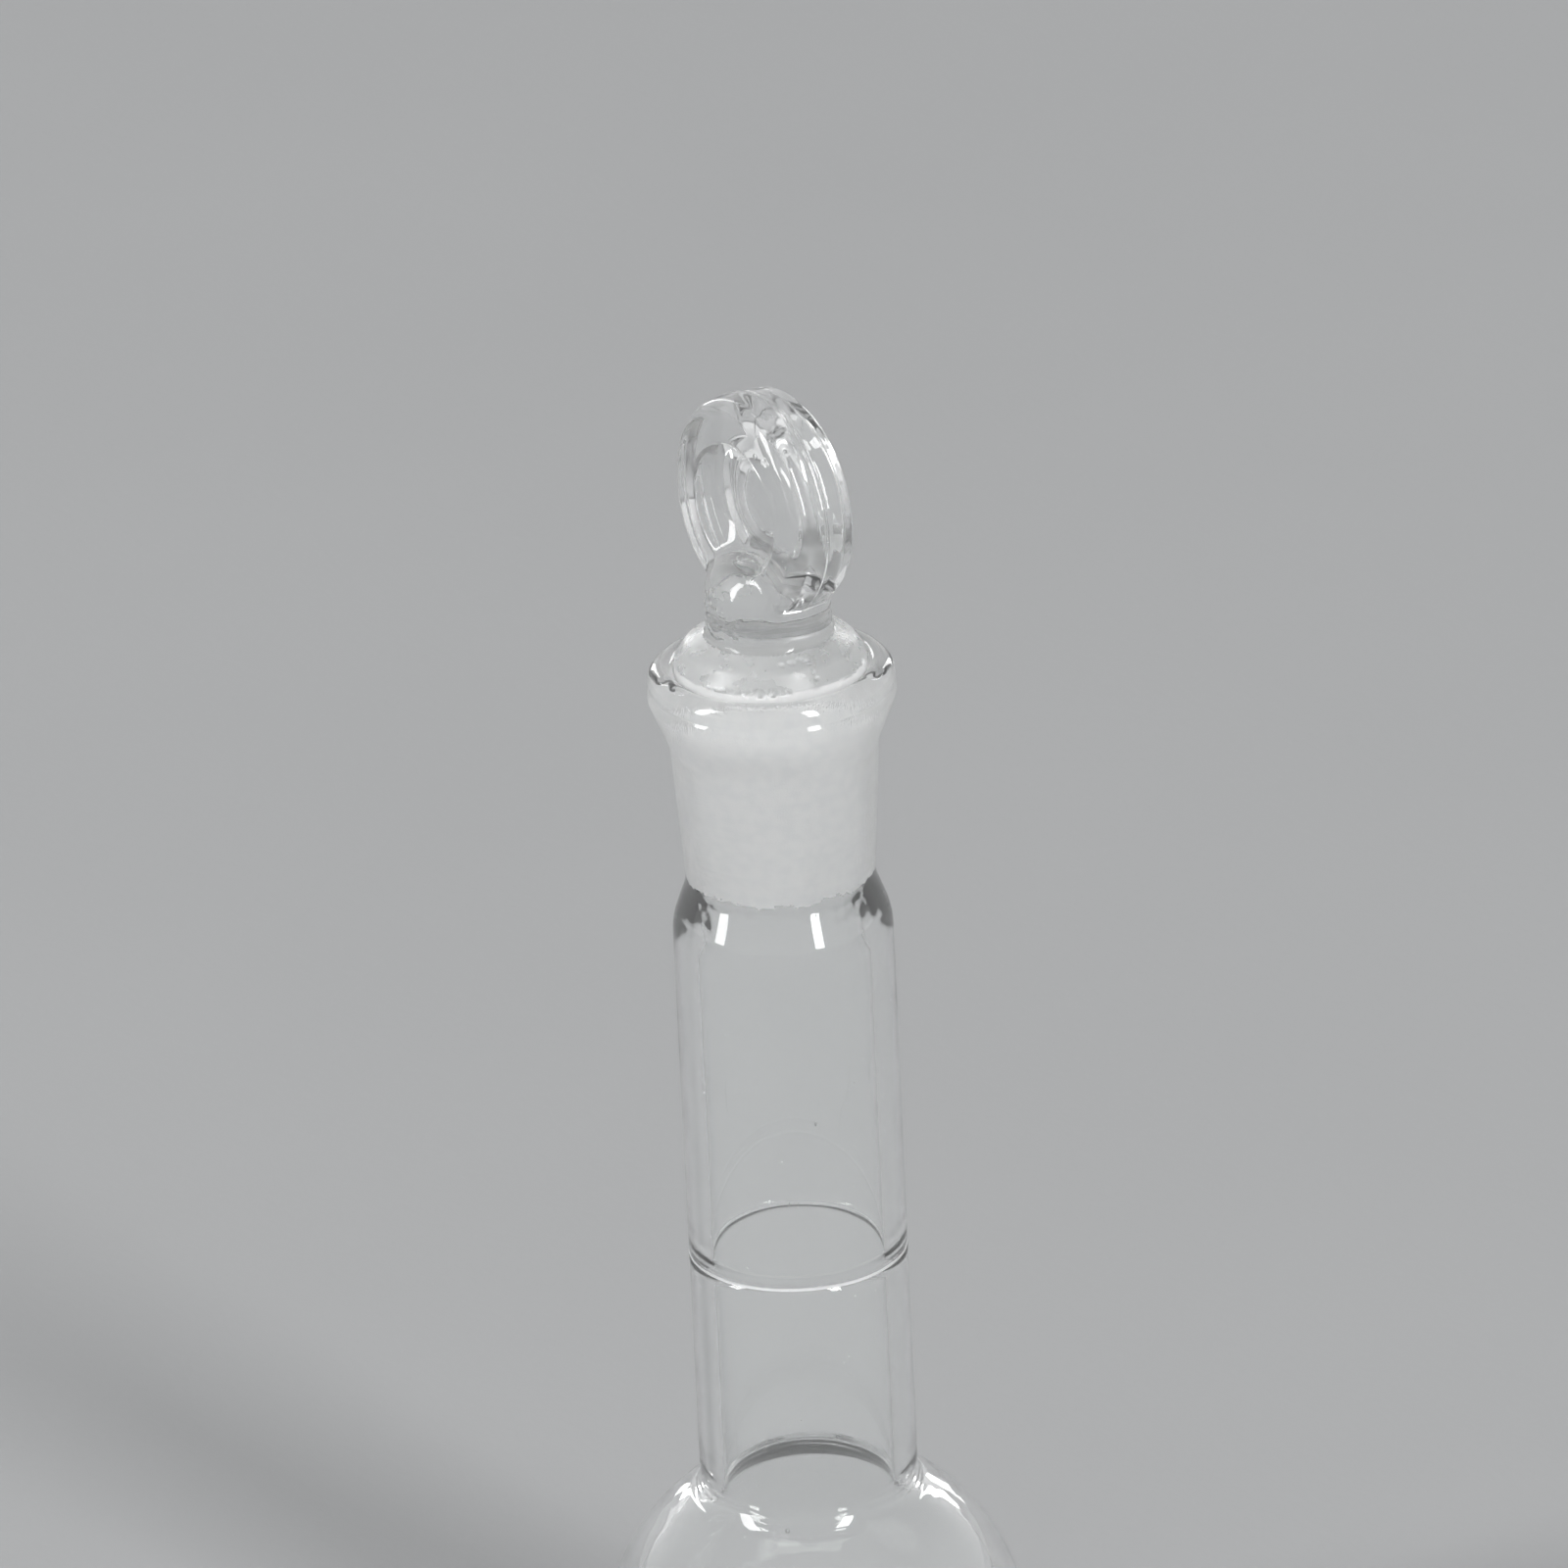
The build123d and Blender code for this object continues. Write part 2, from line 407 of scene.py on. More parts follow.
# Dents in the top of the bead as (degrees, size, depth), at one radius and one height
DENT_RADIUS = 5.75
DENT_HEIGHT = RIM - 0.02
DENTS = [
    (-105, 0.35, 0.10),
    (-92, 0.30, 0.12),
    (-87, 0.25, 0.08),
    (33, 0.30, 0.12),
    (38, 0.35, 0.10),
    (150, 0.40, 0.08),
]

# Seeds of air as (centre, radius, stretch)
BULB_SEEDS = [
    (around(5.55, -46, 17.55), 0.11, 1.2),
    (around(10.6, 100, 8.5), 0.09, 1.0),
    (around(9.0, -140, 13.9), 0.07, 1.3),
]
NECK_SEEDS = [
    (around(5.1, -20, 41.0), 0.05, 3.0),
    (around(5.2, 130, 27.0), 0.06, 2.5),
]
STOPPER_SEEDS = [
    ((1.9, -1.25, 77.45), 0.17, 1.0),
    ((2.1, -1.3, 71.0), 0.14, 1.1),
    ((-0.23, -0.3, 74.3), 0.05, 1.0),
    ((-0.33, -0.28, 73.15), 0.06, 1.0),
    (around(2.0, 60, 60.0), 0.12, 1.4),
]

# Chips in the plug's edge and shoulder as (degrees, radius, height, scoop radius, depth)
CHIPS = [
    (-58, 4.96, PLUG_TOP, 0.30, 0.06),
    (-48, 4.97, PLUG_TOP + 0.04, 0.40, 0.13),
    (-44, 4.96, PLUG_TOP + 0.10, 0.25, 0.12),
    (-40, 4.97, PLUG_TOP, 0.45, 0.14),
    (-35.5, 4.98, PLUG_TOP + 0.08, 0.28, 0.13),
    (-32, 4.96, PLUG_TOP, 0.40, 0.14),
    (-27, 4.97, PLUG_TOP + 0.05, 0.35, 0.12),
    (-23, 4.98, PLUG_TOP, 0.25, 0.08),
    (40, 4.96, PLUG_TOP, 0.35, 0.09),
    (118, 4.96, PLUG_TOP, 0.40, 0.11),
    (-170, 4.96, PLUG_TOP, 0.30, 0.10),
    (-5.0, 3.92, RIM + 1.54, 0.20, 0.06),
    (-4.8, 4.12, RIM + 1.42, 0.18, 0.05),
    (-4.4, 4.36, RIM + 1.28, 0.20, 0.06),
    (-4.6, 4.56, RIM + 1.05, 0.18, 0.05),
    (-4.2, 4.72, RIM + 0.78, 0.20, 0.06),
    (-10, 3.72, RIM + 1.64, 0.25, 0.06),
    (-17, 3.78, RIM + 1.62, 0.30, 0.05),
    (-25, 3.86, RIM + 1.58, 0.25, 0.05),
]


def skin(rings, first, closed=False):
    """Faces between rings of points that are numbered from first."""
    index = first + np.arange(rings.shape[0] * rings.shape[1]).reshape(rings.shape[:2])
    if closed:
        index = np.concatenate([index, index[:1]])
    beside = np.roll(index, -1, axis=1)
    return np.stack([index[:-1], beside[:-1], beside[1:], index[1:]], -1)


def piece(name, verts, faces, slots, materials, flat_slot=None):
    """A smooth mesh object from points in mm, with doubled points joined. Faces of flat_slot stay flat."""
    mesh = bpy.data.meshes.new(name)
    mesh.from_pydata((verts * MM).tolist(), [], faces.tolist())
    for material in materials:
        mesh.materials.append(material)
    mesh.polygons.foreach_set("material_index", slots)
    work = bmesh.new()
    work.from_mesh(mesh)
    bmesh.ops.remove_doubles(work, verts=work.verts, dist=WELD * MM)
    for face in work.faces:
        face.smooth = face.material_index != flat_slot
        if not face.smooth:
            for edge in face.edges:
                edge.smooth = all(other.material_index == flat_slot for other in edge.link_faces)
    work.to_mesh(mesh)
    work.free()
    made = bpy.data.objects.new(name, mesh)
    bpy.context.scene.collection.objects.link(made)
    return made


def swept_piece(name, skins, bubbles, materials, slot_of, closed):
    """A glass piece from skins swept round the axis, one after another, joined by a seal face.

    slot_of(centres of faces) says which material each face of the skins has, and SEAL is the material of
    the faces where the piece is fused to the next one.
    """
    rings = np.concatenate(skins)
    faces = skin(rings, 0, closed)
    centres = rings.reshape(-1, 3)[faces].mean(2)
    slots = slot_of(centres)
    ends = np.cumsum([len(rows) for rows in skins]) - 1
    slots[ends[ends < len(slots)]] = SEAL
    verts, all_faces, all_slots = [rings.reshape(-1, 3)], [faces.reshape(-1, 4)], [slots.reshape(-1)]
    count = rings.shape[0] * rings.shape[1]
    for seed in bubbles:
        shell = skin(seed, count).reshape(-1, 4)
        verts.append(seed.reshape(-1, 3))
        all_faces.append(shell)
        all_slots.append(np.zeros(len(shell), int))
        count += seed.shape[0] * seed.shape[1]
    return piece(
        name, np.concatenate(verts), np.concatenate(all_faces), np.concatenate(all_slots), materials, SEAL
    )


# ---------------------------------------------------------------- the stopper, from distances
def outline_runs(corners):
    """The straight runs and the round runs of an outline of (x, y, corner radius) corners.

    A straight run is (start, end). A round one is (centre, radius, direction of its middle, cosine of half
    its angle, 1 where the solid bulges or -1 where it is hollow).
    """
    straight, round_ones = [], []
    start = Vector(corners[0][:2])
    for before, here, after in zip(corners, corners[1:], corners[2:]):
        corner = Vector(here[:2])
        back = (Vector(before[:2]) - corner).normalized()
        ahead = (Vector(after[:2]) - corner).normalized()
        half = back.angle(ahead) / 2
        reach = here[2] / math.tan(half)
        straight.append((start, corner + back * reach))
        start = corner + ahead * reach
        if here[2] > 0:
            inward = (back + ahead).normalized()
            bulge = -math.copysign(1, back.x * ahead.y - back.y * ahead.x)
            centre = corner + inward * here[2] / math.sin(half)
            round_ones.append((centre, here[2], -inward, math.sin(half), bulge))
    straight.append((start, Vector(corners[-1][:2])))
    return straight, round_ones


def outline_distance(x, y, runs):
    """Signed distance from points to an outline that has its solid on the left."""
    nearest = np.full(x.shape, np.inf)
    for start, end in runs[0]:
        unit = (end - start).normalized()
        dx, dy = x - start.x, y - start.y
        t = np.clip(dx * unit.x + dy * unit.y, 0, (end - start).length)
        off = np.hypot(dx - t * unit.x, dy - t * unit.y)
        side = np.where(dx * unit.y > dy * unit.x, 1.0, -1.0)
        nearest = np.where(off < abs(nearest), off * side, nearest)
    for centre, radius, middle, reach, bulge in runs[1]:
        dx, dy = x - centre.x, y - centre.y
        far = np.hypot(dx, dy)
        signed = (far - radius) * bulge
        within = dx * middle.x + dy * middle.y >= far * reach
        nearest = np.where(within & (abs(signed) < abs(nearest)), signed, nearest)
    return nearest


# The plug and shank as (radius, height, corner radius), turned round Z
PLUG_RUNS = outline_runs([
    (0, PLUG_END, 0),
    (cone_radius(PLUG_END) - PLUG_CLEARANCE, PLUG_END, PLUG_END_ROUND),
    (cone_radius(PLUG_TOP) - PLUG_CLEARANCE, PLUG_TOP, PLUG_EDGE_ROUND),
    (PLUG_SHOULDER_RADIUS, PLUG_SHOULDER, PLUG_SHOULDER_ROUND),
    (SHANK_RADIUS, SHANK_FOOT, SHANK_FOOT_ROUND),
    (SHANK_RADIUS, SHANK_TOP, SHANK_TOP_ROUND),
    (0, SHANK_TOP, 0),
])

# The head as (y, radius, corner radius), turned round its own level axis
HEAD_RUNS = outline_runs([
    (HEAD_WEB, 0, 0),
    (HEAD_WEB, DISH_FLOOR_RADIUS, DISH_FLOOR_ROUND),
    (HEAD_BACK, DISH_MOUTH_RADIUS, DISH_LIP_ROUND),
    (HEAD_BACK, HEAD_EDGE_RADIUS, BACK_EDGE_ROUND),
    (0, HEAD_RADIUS, 0),
    (-HEAD_FRONT, HEAD_EDGE_RADIUS, FRONT_EDGE_ROUND),
    (-HEAD_FRONT, DISH_MOUTH_RADIUS, DISH_LIP_ROUND),
    (-HEAD_WEB, DISH_FLOOR_RADIUS, DISH_FLOOR_ROUND),
    (-HEAD_WEB, 0, 0),
])

# The relief on the stopper, in mm: how far all of it is sunk, the heights between which the head's rim
# begins to carry its seam, and the middle of the shank's crinkled side
STOPPER_INSET = 0.034
RIM_STARTS = (69, 70)
CRINKLED_SIDE = (-0.2, -3.3, 68.3)


def joined(one, other, width):
    """Two distances run together with a fillet about width across."""
    share = np.maximum(width - abs(one - other), 0) / width
    return np.minimum(one, other) - share * share * width / 4


def stopper_shape(points):
    """Distance to the plain stopper."""
    x, y, z = np.moveaxis(points, -1, 0)
    turned = outline_distance(np.hypot(x, y), z, PLUG_RUNS)
    head = outline_distance(y, np.hypot(x, z - HEAD_CENTRE), HEAD_RUNS)
    return joined(turned, head, FILLET)


def stopper_distance(points):
    """Distance to the stopper as pressed, ground and chipped. All of it is inside the plain shape."""
    x, y, z = np.moveaxis(points, -1, 0)
    free = step_up(z, PLUG_TOP + 0.1, PLUG_TOP + 0.9)
    from_axis = np.hypot(x, z - HEAD_CENTRE)
    on_rim = step_up(from_axis, HEAD_RADIUS - 0.9, HEAD_RADIUS - 0.4) * step_up(z, *RIM_STARTS)
    wavy = STOPPER_INSET + 0.005 * hills(points, 3.5, 21) + 0.001 * hills(points, 1.0, 22)
    step_back = 0.05 * step_up(y, -0.05, 0.05)
    groove = 0.07 * near(y, 0.20, 0.12)
    far_half = (step_back + groove) * on_rim
    ridge = 0.03 * near(y, 0.02 + 0.05 * hills(points, 2.2, 23), 0.10) * on_rim
    off_side = np.hypot(x - CRINKLED_SIDE[0], y - CRINKLED_SIDE[1])
    crinkle = 0.16 * abs(hills(points, 0.7, 24)) * near(off_side, 0, 1.5) * near(z, CRINKLED_SIDE[2], 1.3)
    shape = stopper_shape(points) + free * (wavy + far_half + crinkle) - ridge * free
    for degrees, radius, height, scoop, depth in CHIPS:
        centre = np.array(around(radius + scoop - depth, degrees, height))
        shape = np.maximum(shape, scoop - np.linalg.norm(points - centre, axis=-1))
    return shape


def slope(field, points, values, step=0.01):
    """Gradient of a field at points where it has these values."""
    return np.stack([(field(points + step * axis) - values) / step for axis in np.eye(3)], -1)


def surface_net(values, low, step):
    """Points and quads of the surface where a block of distances changes sign."""
    inside = values < 0
    owners, spots, quads = [], [], []
    axes = np.eye(3, dtype=int)
    for axis in range(3):
        at = np.argwhere(inside != np.roll(inside, -1, axis))
        here, ahead = values[tuple(at.T)], values[tuple((at + axes[axis]).T)]
        spot = at + axes[axis] * (here / (here - ahead))[:, None]
        b, c = axes[(axis + 1) % 3], axes[(axis + 2) % 3]
        cells = at[:, None] - np.array([0 * b, b, b + c, c])
        cells = np.ravel_multi_index(np.moveaxis(cells, -1, 0), values.shape)
        owners.append(cells.ravel())
        spots.append(np.repeat(spot, 4, axis=0))
        quads.append(np.where((here < 0)[:, None], cells, cells[:, ::-1]))
    owners, spots, quads = map(np.concatenate, (owners, spots, quads))
    kept, index = np.unique(owners, return_inverse=True)
    count = np.bincount(index)
    points = np.stack([np.bincount(index, spots[:, k]) / count for k in range(3)], -1)
    return points * step + low, np.searchsorted(kept, quads)


def stopper_net(step):
    """Points and quads of the stopper, drawn on to its exact surface.

    The net of the plain shape is read from two tables of distances, one for each turned outline, and its
    points are then moved on to the surface of stopper_distance.
    """
    low = np.array([-HEAD_RADIUS, -HEAD_RADIUS, PLUG_END]) - GRID_MARGIN
    high = np.array([HEAD_RADIUS, HEAD_RADIUS, HEAD_CENTRE + HEAD_RADIUS]) + GRID_MARGIN
    x, y, z = (np.arange(a, b, step) for a, b in zip(low, high))
    reach = np.linspace(0, TABLE_REACH, TABLE_COUNT)
    across, level = np.meshgrid(reach, z, indexing="ij")
    turned = outline_distance(across, level, PLUG_RUNS)
    across, level = np.meshgrid(reach, y, indexing="ij")
    head = outline_distance(level, across, HEAD_RUNS)
    flat = np.hypot(x[:, None], y[None])
    upright = np.hypot(x[:, None], z[None] - HEAD_CENTRE)
    turned = np.stack([np.interp(flat, reach, column) for column in turned.T], -1)
    head = np.stack([np.interp(upright, reach, column) for column in head.T], 1)
    points, quads = surface_net(joined(turned, head, FILLET) + NET_INSET, low, step)
    for _ in range(NET_ROUNDS):
        values = stopper_distance(points)
        normals = slope(stopper_distance, points, values)
        length = np.linalg.norm(normals, axis=1)[:, None]
        points = points - normals * np.clip(values[:, None] / length**2, -step / 2, step / 2)
    return points, quads


def make_stopper(materials):
    """The solid stopper with its seeds of air."""
    verts, quads = stopper_net(STOPPER_STEP)
    centres = verts[quads].mean(1)
    across, height = np.hypot(centres[:, 0], centres[:, 1]), centres[:, 2]
    on_cone = abs(across - (cone_radius(height) - PLUG_CLEARANCE)) < 0.05
    ragged = PLUG_TOP - 0.12 + 0.10 * hills(centres, 0.8, 31)
    ground = on_cone & (height < ragged) & (height > PLUG_END + 0.2)
    shoulder = (height > PLUG_TOP - 0.2) & (height < WORN_TOP)
    slots = np.where(ground, SPECIAL, np.where(shoulder, WORN, CLEAR))
    count = len(verts)
    verts, quads, slots = [verts], [quads], [slots]
    for centre, radius, stretch in STOPPER_SEEDS:
        rings = bubble(centre, radius, stretch)
        shell = skin(rings, count).reshape(-1, 4)
        verts.append(rings.reshape(-1, 3))
        quads.append(shell)
        slots.append(np.full(len(shell), CLEAR))
        count += len(verts[-1])
    made = piece("stopper_glass", *map(np.concatenate, (verts, quads, slots)), materials)
    true_normals(made, stopper_distance)
    return made


def true_normals(made, field):
    """Gives the points on a field's surface its exact normals, so that the glass bends light smoothly."""
    mesh = made.data
    points = np.array([v.co for v in mesh.vertices]) / MM
    normals = np.array([v.normal for v in mesh.vertices])
    values = field(points)
    exact = slope(field, points, values)
    exact /= np.linalg.norm(exact, axis=1)[:, None]
    agree = (abs(values) < ON_SURFACE) & ((exact * normals).sum(1) > 0.5)
    mesh.normals_split_custom_set_from_vertices(np.where(agree[:, None], exact, normals).tolist())


# ---------------------------------------------------------------- the flask
def make_bulb(materials):
    """The blown body up to the lower seal."""
    outer = swept(bulb_line(0, NECK_RADIUS, 0), outside_depth)
    inner = swept(bulb_line(BULB_WALL, BORE_RADIUS, BASE_WALL)[::-1], inside_depth)
    seeds = [bubble(*seed) for seed in BULB_SEEDS]
    return swept_piece("bulb_glass", [outer, inner], seeds, materials, all_clear, False)


def make_neck(materials):
    """The drawn neck with the graduation line."""
    outer = swept(neck_line(), lambda p: outside_depth(p) + line_roughness(p))
    waver = near(outer[..., 2], LINE_HEIGHT, 1) * 0.03 * hills(outer, 4, 41)
    outer[..., 2] += waver
    inner = swept(evenly([(BORE_RADIUS, UPPER_SEAL), (BORE_RADIUS, LOWER_SEAL)], NECK_STEP), inside_depth)
    seeds = [bubble(*seed) for seed in NECK_SEEDS]
    return swept_piece("neck_glass", [outer, inner], seeds, materials, line_slots, True)


def make_socket(materials):
    """The ground joint with its rolled bead."""
    both = evenly(socket_outside() + socket_bore(), SOCKET_STEP)
    return swept_piece("socket_glass", [swept(both, socket_depth)], [], materials, ground_slots, True)


def line_roughness(points):
    """The torn bottom of the cut line."""
    in_line = abs(points[..., 2] - LINE_HEIGHT) < LINE_WIDTH / 2 - 0.01
    return in_line * 0.015 * hills(points, 0.16, 42)


def socket_depth(points):
    """Outside or inside depth, by which side of the wall a point is on."""
    middle = np.maximum(cone_radius(points[..., 2]), BORE_RADIUS) + 0.2
    outer = np.hypot(points[..., 0], points[..., 1]) > middle
    return np.where(outer, outside_depth(points), inside_depth(points))


def all_clear(centres):
    """Every face is clear glass."""
    return np.full(centres.shape[:2], CLEAR)


def line_slots(centres):
    """The cut line is etched, and the rest is clear."""
    cut = abs(centres[..., 2] - LINE_HEIGHT) < LINE_WIDTH / 2 + 0.03
    outer = np.hypot(centres[..., 0], centres[..., 1]) > MID_WALL
    return np.where(cut & outer, SPECIAL, CLEAR)


def ground_slots(centres):
    """The cone is ground down to a ragged edge, and the rest is clear."""
    height = centres[..., 2]
    ragged = GROUND_END + 0.80 + 0.30 * hills(centres, 1.3, 43) + 0.22 * hills(centres, 0.3, 44)
    bore = np.hypot(centres[..., 0], centres[..., 1]) < cone_radius(height) + 0.03
    return np.where(bore & (height > ragged) & (height < MOUTH), SPECIAL, CLEAR)


# ---------------------------------------------------------------- materials
def node(tree, kind, inputs=None, **settings):
    """A shader node with its settings, and its inputs set to numbers or joined to sockets."""
    made = tree.nodes.new(kind)
    for name, value in settings.items():
        setattr(made, name, value)
    for name, value in (inputs or {}).items():
        if isinstance(value, bpy.types.NodeSocket):
            tree.links.new(value, made.inputs[name])
        else:
            made.inputs[name].default_value = value
    return made


def maths(tree, operation, *values):
    """The result of a Math node."""
    return node(tree, "ShaderNodeMath", dict(enumerate(values)), operation=operation).outputs[0]


def ramp(tree, value, low, high, start=0.0, end=1.0):
    """A value carried smoothly from low..high to start..end."""
    return node(
        tree, "ShaderNodeMapRange",
        {"Value": value, "From Min": low, "From Max": high, "To Min": start, "To Max": end},
        interpolation_type="SMOOTHSTEP",
    ).outputs[0]


def place(tree, scale=(1, 1, 1), turn=(0, 0, 0)):
    """Object coordinates in millimetres, stretched and turned."""
    where = node(tree, "ShaderNodeTexCoord").outputs["Object"]
    size = [s / MM for s in scale]
    return node(tree, "ShaderNodeMapping", {"Vector": where, "Scale": size, "Rotation": turn}).outputs[0]


def blend(tree, factor, first, second):
    """A colour from the first to the second, by a factor from 0 to 1."""
    mix = node(tree, "ShaderNodeMix", {"Factor": factor}, data_type="RGBA")
    mix.inputs[6].default_value = (*first, 1)
    mix.inputs[7].default_value = (*second, 1)
    return mix.outputs[2]


def cloud(tree, where, scale, detail=3.0):
    """Noise with features about 1 / scale mm wide."""
    inputs = {"Vector": where, "Scale": scale, "Detail": detail}
    return node(tree, "ShaderNodeTexNoise", inputs).outputs[0]


def specks(tree, scale, size, share):
    """1 on small round specks, in a share of the cells of a random pattern."""
    cells = node(tree, "ShaderNodeTexVoronoi", {"Vector": place(tree), "Scale": scale})
    chance = node(tree, "ShaderNodeSeparateColor", {0: cells.outputs["Color"]}).outputs[0]
    chosen = maths(tree, "LESS_THAN", chance, share)
    speck = ramp(tree, cells.outputs["Distance"], size * scale, size * scale * 0.5)
    return maths(tree, "MULTIPLY", speck, chosen)


def hairlines(tree, stretch, turn, patch, width):
    """1 on fine scratches: the level lines of noise that is stretched and turned, kept in patches."""
    field = cloud(tree, place(tree, stretch, turn), 1.0, 0.0)
    line = ramp(tree, maths(tree, "ABSOLUTE", maths(tree, "SUBTRACT", field, 0.5)), width, 0.0)
    where = ramp(tree, cloud(tree, place(tree), patch, 1.0), 0.6, 0.68)
    return maths(tree, "MULTIPLY", line, where)


def glass(name, base, transmission, ior):
    """A glass material: its node tree and Principled node."""
    made = bpy.data.materials.new(name)
    made.use_nodes = True
    shader = made.node_tree.nodes["Principled BSDF"]
    shader.inputs["Base Color"].default_value = (*base, 1)
    shader.inputs["Transmission Weight"].default_value = transmission
    shader.inputs["IOR"].default_value = ior
    return made, made.node_tree, shader


def add_bump(tree, shader, height, distance, strength=1.0):
    """Bump from a height of 0 to 1, that far in mm."""
    bump = node(tree, "ShaderNodeBump", {"Height": height, "Distance": distance * MM, "Strength": strength})
    tree.links.new(bump.outputs[0], shader.inputs["Normal"])


def clear_glass(name, wear):
    """Clear glass with smears, dust and handling scratches. wear is about 1."""
    made, tree, shader = glass(name, (0.985, 0.992, 0.990), 0.965, GLASS_IOR)
    smear = ramp(tree, cloud(tree, place(tree, (1, 1, 0.5)), 0.45), 0.5, 0.8, 0.0, 0.035 * wear)
    dust = maths(tree, "MAXIMUM", specks(tree, 0.9, 0.035, 0.5 * wear), specks(tree, 2.3, 0.018, 0.3 * wear))
    lines = hairlines(tree, (0.9, 0.9, 0.25), (1.1, 0.6, 0.2), 0.3, 0.003)
    marks = maths(tree, "MAXIMUM", maths(tree, "MULTIPLY", dust, 0.7), maths(tree, "MULTIPLY", lines, 0.25))
    tree.links.new(maths(tree, "ADD", smear, marks), shader.inputs["Roughness"])
    add_bump(tree, shader, maths(tree, "SUBTRACT", dust, maths(tree, "MULTIPLY", lines, 0.4)), 0.008)
    return made


def ground_glass(name):
    """Glass ground with grit while it turned: milky, with a grain, fine rings and clearer patches."""
    made, tree, shader = glass(name, (1.0, 1.0, 1.0), 0.50, GLASS_IOR)
    rings = cloud(tree, place(tree, (0.12, 0.12, 6.0)), 1.0, 2.0)
    grain = cloud(tree, place(tree), 14.0, 2.0)
    blotches = cloud(tree, place(tree), 1.6, 5.0)
    mixed = maths(tree, "ADD", maths(tree, "MULTIPLY", rings, 0.25), maths(tree, "MULTIPLY", blotches, 0.75))
    tree.links.new(ramp(tree, mixed, 0.35, 0.62, 0.53, 0.60), shader.inputs["Roughness"])
    tint = blend(tree, ramp(tree, mixed, 0.38, 0.6), (0.90, 0.905, 0.905), (0.945, 0.945, 0.94))
    tree.links.new(tint, shader.inputs["Base Color"])
    add_bump(tree, shader, maths(tree, "ADD", grain, maths(tree, "MULTIPLY", rings, 0.6)), 0.02, 0.6)
    return made


def etched_glass(name):
    """The bottom of the cut line: glass torn by the wheel, dull with bright grains."""
    made, tree, shader = glass(name, (0.95, 0.96, 0.965), 0.6, GLASS_IOR)
    grain = cloud(tree, place(tree), 9.0, 3.0)
    tree.links.new(ramp(tree, grain, 0.35, 0.7, 0.3, 0.75), shader.inputs["Roughness"])
    add_bump(tree, shader, grain, 0.05, 0.7)
    return made


def worn_glass(name):
    """Clear glass dulled by handling and by grit from the grinding, with brighter and clearer patches."""
    made, tree, shader = glass(name, (0.95, 0.96, 0.96), 0.85, GLASS_IOR)
    patches = cloud(tree, place(tree), 1.1, 4.0)
    tree.links.new(ramp(tree, patches, 0.35, 0.65, 0.25, 0.36), shader.inputs["Roughness"])
    add_bump(tree, shader, cloud(tree, place(tree), 1.8, 1.0), 0.04, 0.4)
    return made


def seal_glass(name):
    """The faces where two pieces are fused into one: nothing shows there."""
    made, _, shader = glass(name, (1, 1, 1), 1.0, GLASS_IOR)
    shader.inputs["Alpha"].default_value = 0.0
    return made


def floor_material():
    """Smooth pale card with the faintest mottling."""
    made = bpy.data.materials.new("pale_floor")
    made.use_nodes = True
    tree = made.node_tree
    shader = tree.nodes["Principled BSDF"]
    mottling = ramp(tree, cloud(tree, place(tree), 0.02, 4.0), 0.3, 0.7)
    tint = blend(tree, mottling, (0.286, 0.289, 0.292), (0.291, 0.294, 0.297))
    tree.links.new(tint, shader.inputs["Base Color"])
    shader.inputs["Roughness"].default_value = 0.8
    add_bump(tree, shader, cloud(tree, place(tree), 1.5, 2.0), 0.02)
    return made


# ---------------------------------------------------------------- stage, lights and camera
def direction(azimuth, elevation):
    """Unit vector from the object towards a place: azimuth 0 is -Y and 90 is +X, in degrees."""
    a, e = math.radians(azimuth), math.radians(elevation)
    return Vector((math.sin(a) * math.cos(e), -math.cos(a) * math.cos(e), math.sin(e)))


def make_floor():
    """A wide round sheet under the base."""
    mesh = bpy.data.meshes.new("floor")
    work = bmesh.new()
    bmesh.ops.create_circle(work, cap_ends=True, segments=96, radius=FLOOR_RADIUS)
    work.to_mesh(mesh)
    work.free()
    mesh.materials.append(floor_material())
    made = bpy.data.objects.new("floor", mesh)
    made.location.z = cad_low.z
    bpy.context.scene.collection.objects.link(made)


def softbox(name, turn, elevation, distance, width, height, power):
    """A rectangular lamp that faces the middle of the object, turned round it from the camera."""
    lamp = bpy.data.lights.new(name, "AREA")
    lamp.shape = "RECTANGLE"
    lamp.size, lamp.size_y = width, height
    lamp.energy = power
    made = bpy.data.objects.new(name, lamp)
    target = (cad_low + cad_high) / 2
    away = direction(CAMERA_AZIMUTH + turn, elevation)
    facing = away.to_track_quat("Z", "Y").to_matrix().to_4x4()
    made.matrix_world = Matrix.Translation(target + away * distance) @ facing
    made.visible_camera = False
    bpy.context.scene.collection.objects.link(made)


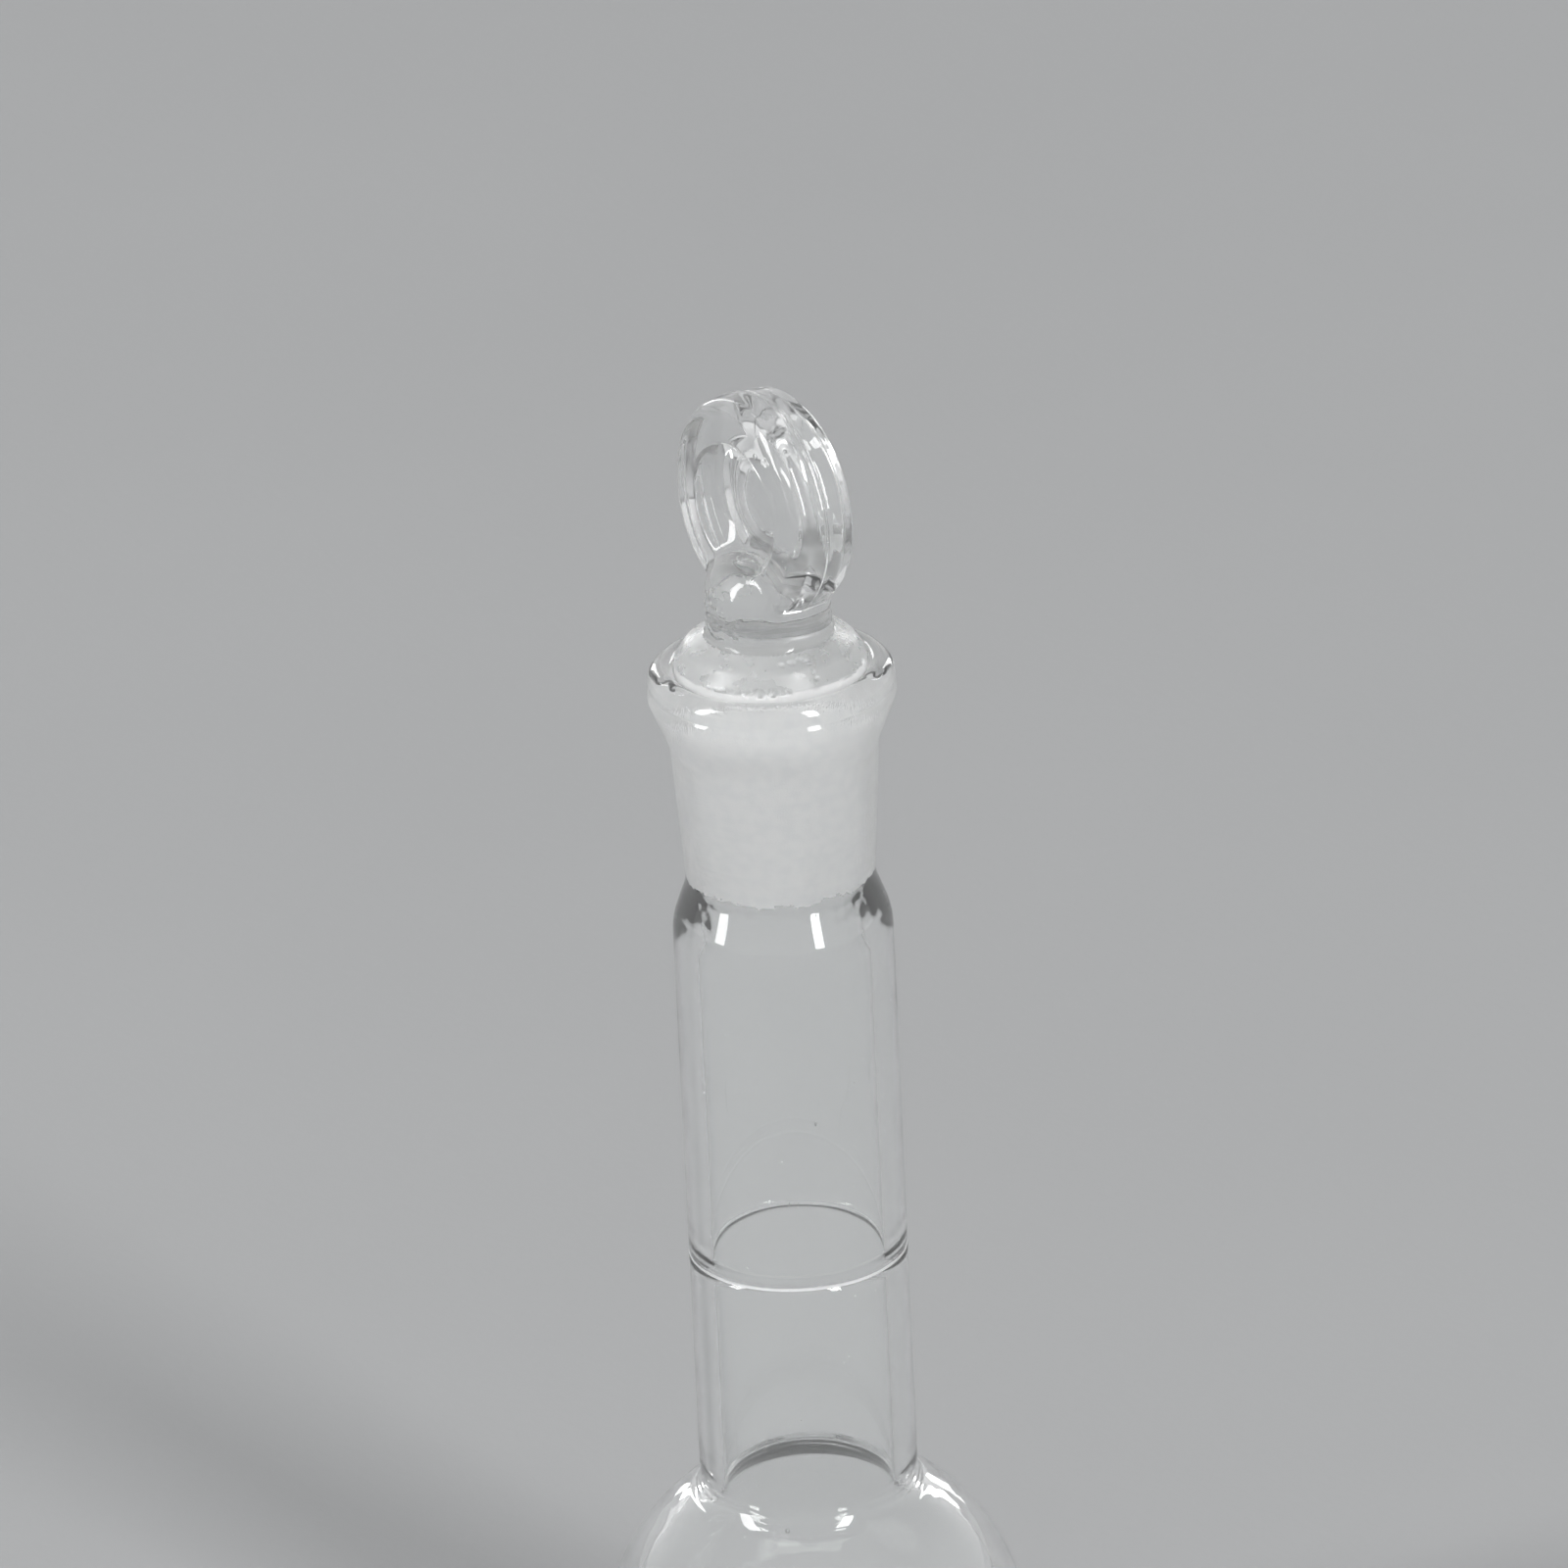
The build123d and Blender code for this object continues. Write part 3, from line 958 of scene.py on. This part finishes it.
def make_world():
    """A white room, brighter than the floor, and less bright towards the ceiling."""
    world = bpy.data.worlds.new("studio")
    world.use_nodes = True
    tree = world.node_tree
    way = node(tree, "ShaderNodeTexCoord").outputs["Generated"]
    height = node(tree, "ShaderNodeSeparateXYZ", {0: way}).outputs[2]
    tint = blend(tree, ramp(tree, height, 0.05, 0.8), (0.74, 0.745, 0.75), (0.45, 0.455, 0.46))
    tree.links.new(tint, tree.nodes["Background"].inputs["Color"])
    bpy.context.scene.world = world


def make_camera():
    """A long lens, turned a little so that the flask leans left as it does in the photograph."""
    back = direction(CAMERA_AZIMUTH, CAMERA_ELEVATION)
    right = Vector((0, 0, 1)).cross(back).normalized()
    up = back.cross(right)
    lean = math.radians(CAMERA_LEAN)
    across = right * math.cos(lean) - up * math.sin(lean)
    upward = right * math.sin(lean) + up * math.cos(lean)
    target = Vector((0, 0, AIM_HEIGHT * MM)) + right * AIM_RIGHT * MM
    data = bpy.data.cameras.new("camera")
    data.sensor_width = 36
    data.lens = CAMERA_LENS
    data.clip_start, data.clip_end = 0.01, 50
    made = bpy.data.objects.new("camera", data)
    turn = Matrix((across, upward, back)).transposed().to_4x4()
    made.matrix_world = Matrix.Translation(target + back * CAMERA_DISTANCE) @ turn
    bpy.context.scene.collection.objects.link(made)
    bpy.context.scene.camera = made


# ---------------------------------------------------------------- the scene
clear = clear_glass("clear_glass", 1.0)
pressed = clear_glass("pressed_glass", 0.6)
ground = ground_glass("ground_glass")
etched = etched_glass("etched_line")
worn = worn_glass("worn_glass")
seal = seal_glass("fused_seal")

bulb = make_bulb([clear, seal])
neck = make_neck([clear, seal, etched])
socket = make_socket([clear, seal, ground])
stopper = make_stopper([pressed, seal, ground, worn])

for made, body, part, finish in (
    (bulb, "flask", "bulb", "flask_glass"),
    (neck, "flask", "neck_tube", "flask_glass"),
    (socket, "flask", "ground_socket", "ground_joint_glass"),
    (stopper, "stopper", "stopper", "stopper_glass"),
):
    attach(made, body)
    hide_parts(part)

make_floor()
for lamp in LAMPS:
    softbox(*lamp)
make_world()
make_camera()
bpy.context.scene.view_settings.view_transform = "Standard"
